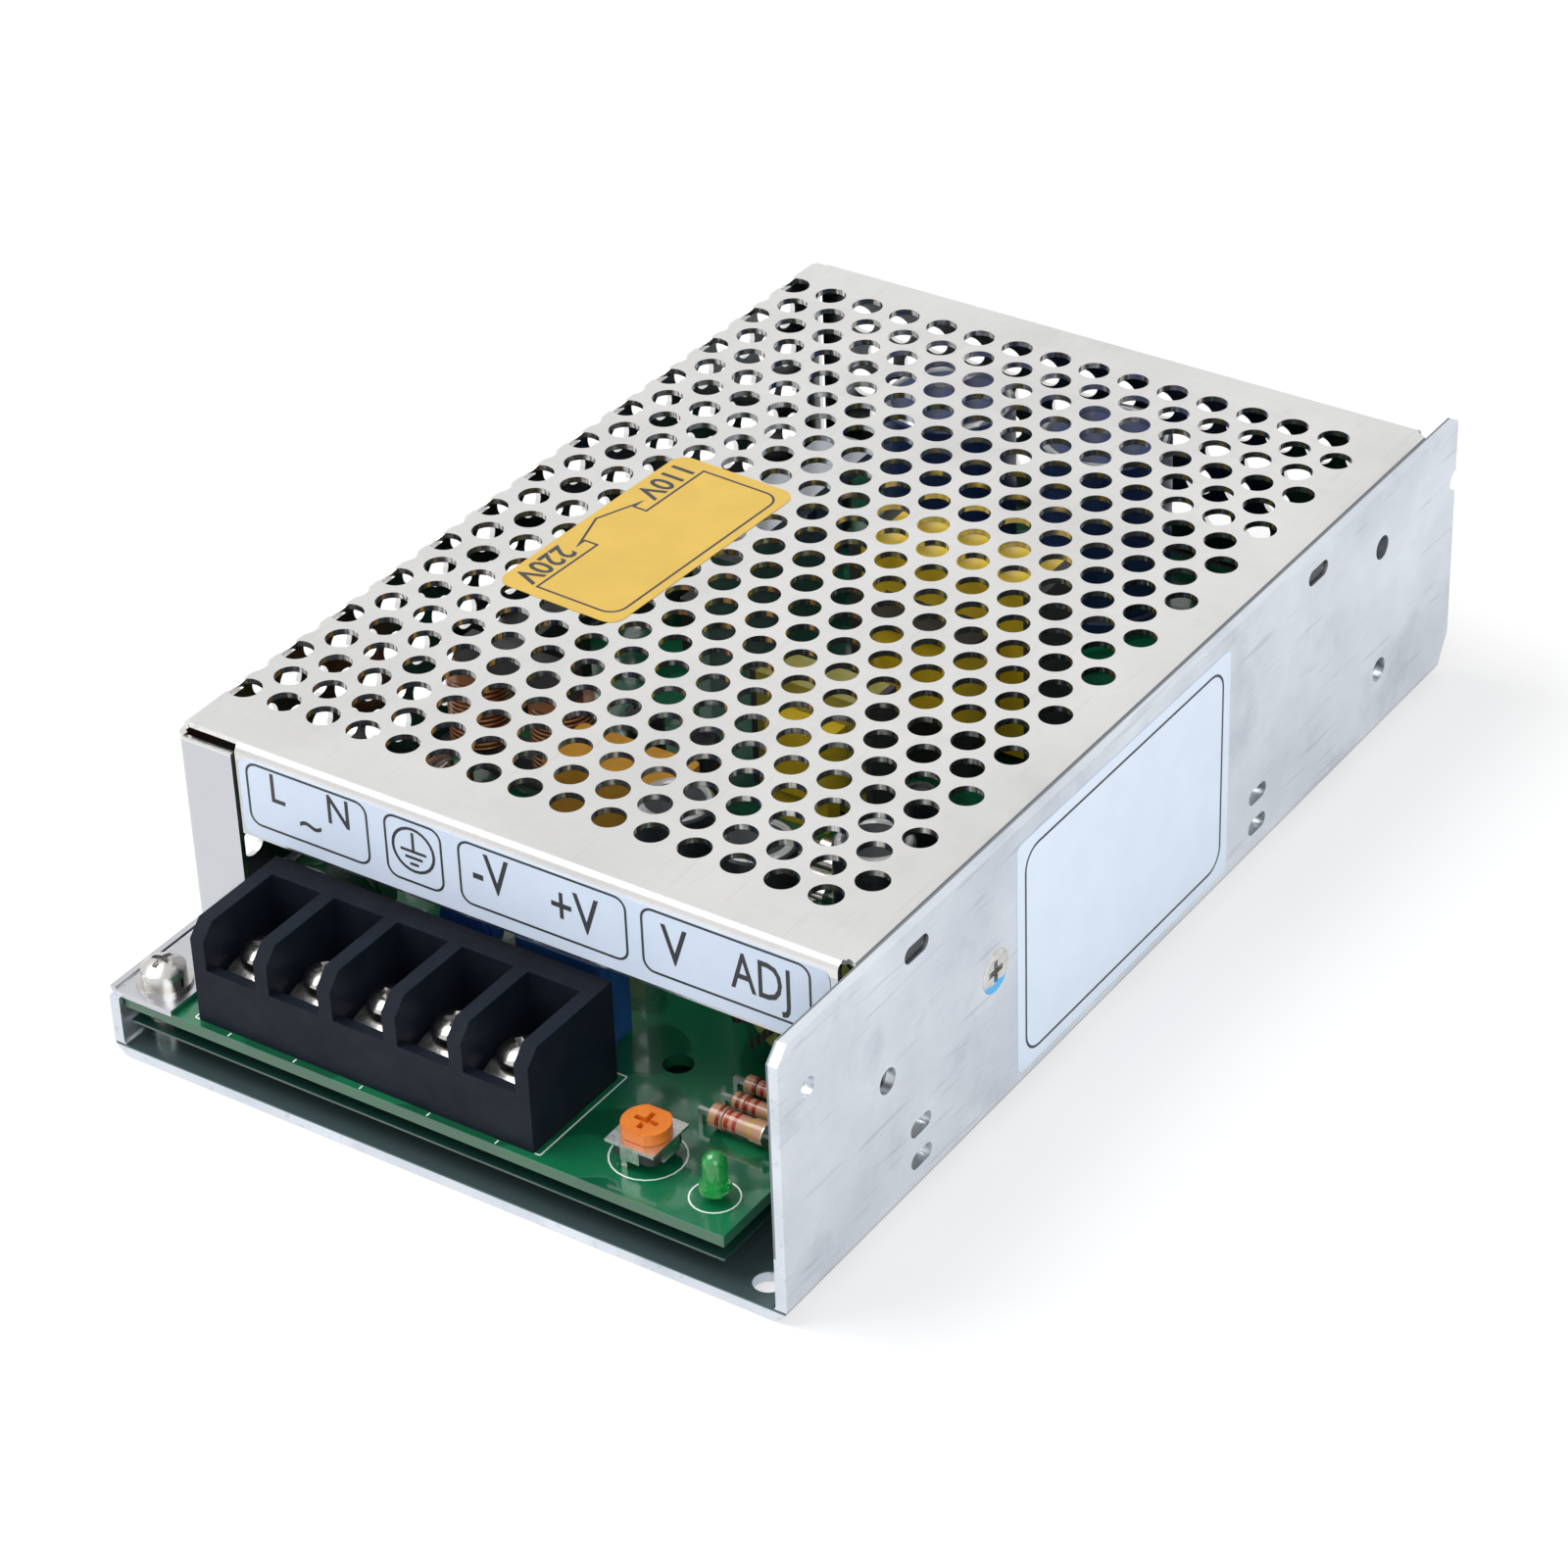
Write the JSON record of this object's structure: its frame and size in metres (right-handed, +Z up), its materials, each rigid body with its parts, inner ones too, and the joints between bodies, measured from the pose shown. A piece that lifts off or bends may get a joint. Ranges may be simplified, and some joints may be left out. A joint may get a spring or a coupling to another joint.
{
  "type": "mesh case switching power supply",
  "caption": "Enclosed switching power supply in a folded aluminium chassis with a perforated steel cover, front barrier terminals, trimmer and lamp.",
  "frame": {"origin": "centre of the bounding box's underside, the face that rests on a surface", "axes": "+Z up, +Y from the terminals to the rear, +X towards the tall side wall"},
  "size_m": [0.0981, 0.16, 0.0381],
  "materials": {
    "chassis": "satin mill finish with faint scratches",
    "cover": "smooth plated steel",
    "board": "green solder mask",
    "film": "clear film",
    "hardware": "nickel plated",
    "terminal_plastic": "moulded, slightly rough",
    "contacts": "tinned",
    "clamp_metal": "nickel plated, stamped",
    "screw_metal": "nickel plated",
    "trimmer_metal": "bright stamped",
    "black_plastic": "moulded",
    "trimmer_orange": "moulded",
    "led_green": "clear cast resin",
    "resistor_tan": "lacquered with colour bands",
    "fuse_glass": "clear",
    "maroon_lacquer": "dipped",
    "green_lacquer": "dipped",
    "amber_plastic": "moulded case",
    "blue_lacquer": "dipped",
    "blue_plastic": "moulded case",
    "ferrite": "ground ferrite",
    "copper_wire": "enamelled copper wire",
    "capacitor_blue": "shrink sleeve",
    "capacitor_dark": "shrink sleeve",
    "yellow_tape": "polyester tape",
    "pad_grey": "silicone pad",
    "toroid_paint": "painted powder core",
    "dark_wire": "enamelled wire",
    "selector_red": "moulded",
    "pale_label": "printed label",
    "yellow_label": "printed label"
  },
  "bodies": {
    "case": {"base_chassis": "chassis", "mesh_cover": "cover", "circuit_board": "board", "insulating_sheet": "film", "board_standoffs": "hardware", "board_screws": "hardware", "spring_washers": "hardware", "flat_washers": "hardware", "terminal_block": "terminal_plastic", "terminal_contacts": "contacts", "trimmer_frame": "trimmer_metal", "trimmer_body": "black_plastic", "led": "led_green", "resistors": "resistor_tan", "fuse_tube": "fuse_glass", "fuse_caps": "hardware", "fuse_clips": "contacts", "varistor": "maroon_lacquer", "thermistor": "green_lacquer", "x_capacitor": "amber_plastic", "y_capacitors": "blue_lacquer", "film_capacitor": "blue_plastic", "choke_core": "ferrite", "choke_windings": "copper_wire", "bridge_rectifier": "black_plastic", "bulk_capacitors": "capacitor_blue", "heatsink": "chassis", "switching_transistors": "black_plastic", "transistor_screws": "hardware", "transformer_core": "ferrite", "transformer_winding": "yellow_tape", "transformer_bobbin": "black_plastic", "driver_core": "ferrite", "driver_winding": "yellow_tape", "output_rectifier": "black_plastic", "rectifier_pad": "pad_grey", "rectifier_screw": "hardware", "rectifier_nut": "hardware", "toroid_core": "toroid_paint", "toroid_winding": "dark_wire", "output_capacitors": "capacitor_dark", "control_chip": "black_plastic", "small_capacitors": "capacitor_dark", "selector_body": "black_plastic", "front_label": "pale_label", "side_label": "pale_label", "top_label": "yellow_label"},
    "clamp_1": {"clamp_plate_1": "clamp_metal"},
    "screw_1": {"terminal_screw_1": "screw_metal"},
    "clamp_2": {"clamp_plate_2": "clamp_metal"},
    "screw_2": {"terminal_screw_2": "screw_metal"},
    "clamp_3": {"clamp_plate_3": "clamp_metal"},
    "screw_3": {"terminal_screw_3": "screw_metal"},
    "clamp_4": {"clamp_plate_4": "clamp_metal"},
    "screw_4": {"terminal_screw_4": "screw_metal"},
    "clamp_5": {"clamp_plate_5": "clamp_metal"},
    "screw_5": {"terminal_screw_5": "screw_metal"},
    "trimmer_rotor": {"trimmer_rotor": "trimmer_orange"},
    "selector_slider": {"selector_slider": "selector_red"}
  },
  "joints": [
    {"name": "clamp_lift_1", "type": "slide", "parent": "case", "child": "clamp_1", "axis": [0, 0, 1], "range_m": [-0.00115, 0.0013]},
    {"name": "screw_turn_1", "type": "hinge", "parent": "clamp_1", "child": "screw_1", "pos_m": [-0.03055, -0.0717, 0.0156], "axis": [0, 0, 1], "range_deg": [-691, 781]},
    {"name": "clamp_lift_2", "type": "slide", "parent": "case", "child": "clamp_2", "axis": [0, 0, 1], "range_m": [-0.00115, 0.0013]},
    {"name": "screw_turn_2", "type": "hinge", "parent": "clamp_2", "child": "screw_2", "pos_m": [-0.02105, -0.0717, 0.0156], "axis": [0, 0, 1], "range_deg": [-691, 781]},
    {"name": "clamp_lift_3", "type": "slide", "parent": "case", "child": "clamp_3", "axis": [0, 0, 1], "range_m": [-0.00115, 0.0013]},
    {"name": "screw_turn_3", "type": "hinge", "parent": "clamp_3", "child": "screw_3", "pos_m": [-0.01155, -0.0717, 0.0156], "axis": [0, 0, 1], "range_deg": [-691, 781]},
    {"name": "clamp_lift_4", "type": "slide", "parent": "case", "child": "clamp_4", "axis": [0, 0, 1], "range_m": [-0.00115, 0.0013]},
    {"name": "screw_turn_4", "type": "hinge", "parent": "clamp_4", "child": "screw_4", "pos_m": [-0.00205, -0.0717, 0.0156], "axis": [0, 0, 1], "range_deg": [-691, 781]},
    {"name": "clamp_lift_5", "type": "slide", "parent": "case", "child": "clamp_5", "axis": [0, 0, 1], "range_m": [-0.00115, 0.0013]},
    {"name": "screw_turn_5", "type": "hinge", "parent": "clamp_5", "child": "screw_5", "pos_m": [0.00745, -0.0717, 0.0156], "axis": [0, 0, 1], "range_deg": [-691, 781]},
    {"name": "trimmer_turn", "type": "hinge", "parent": "case", "child": "trimmer_rotor", "pos_m": [0.0246, -0.0716, 0.0125], "axis": [0, 0, 1], "range_deg": [-110, 110]},
    {"name": "selector_slide", "type": "slide", "parent": "case", "child": "selector_slider", "axis": [0, 1, 0], "range_m": [0, 0.004]}
  ],
  "couplings": [
    {"joint": "screw_turn_1", "follows": "clamp_lift_1", "rad_per_m": 10472},
    {"joint": "screw_turn_2", "follows": "clamp_lift_2", "rad_per_m": 10472},
    {"joint": "screw_turn_3", "follows": "clamp_lift_3", "rad_per_m": 10472},
    {"joint": "screw_turn_4", "follows": "clamp_lift_4", "rad_per_m": 10472},
    {"joint": "screw_turn_5", "follows": "clamp_lift_5", "rad_per_m": 10472}
  ]
}
